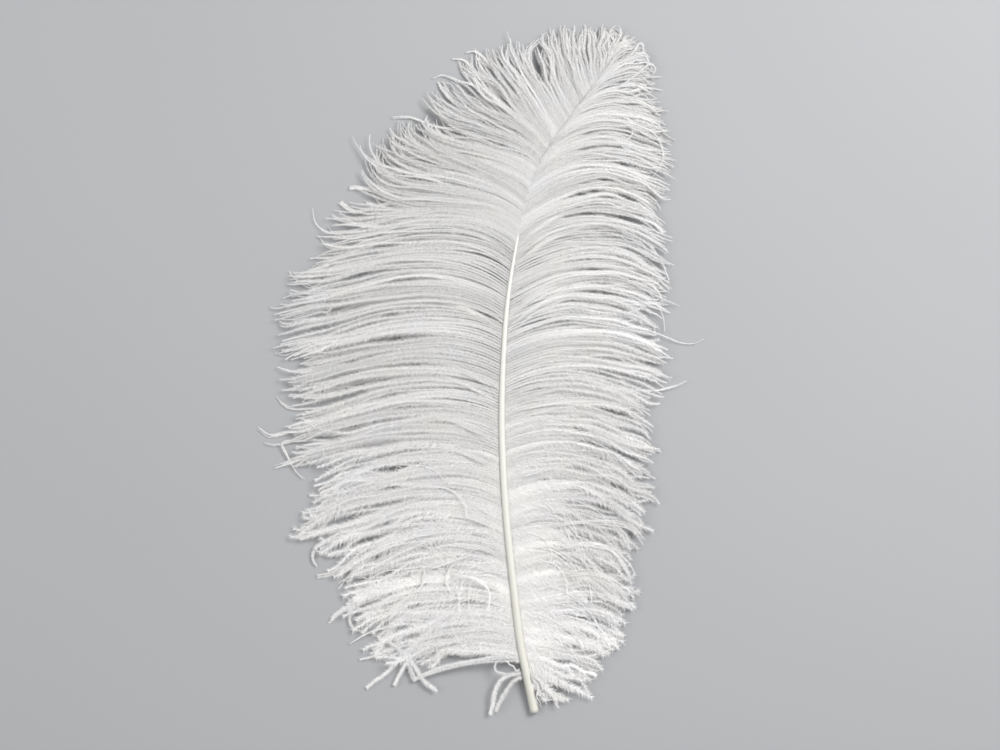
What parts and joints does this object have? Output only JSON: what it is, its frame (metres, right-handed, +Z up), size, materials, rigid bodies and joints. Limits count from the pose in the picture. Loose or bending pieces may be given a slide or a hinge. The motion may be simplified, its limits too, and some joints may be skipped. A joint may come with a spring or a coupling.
{
  "type": "ostrich feather",
  "caption": "Loose white ostrich plume lying on its underside: tapering ivory quill and shaft with two soft vanes of drooping, curled locks.",
  "frame": {"origin": "on the surface that the plume lies on, under the middle of its box", "axes": "+Z up out of the surface, +Y along the plume from the cut end of the quill towards the curled tip, +X towards the right-hand vane seen from above"},
  "size_m": [0.2999, 0.4612, 0.0236],
  "materials": {
    "barbs": "matte",
    "shaft": "satin"
  },
  "bodies": {
    "root": {"feather": "barbs"}
  },
  "joints": []
}
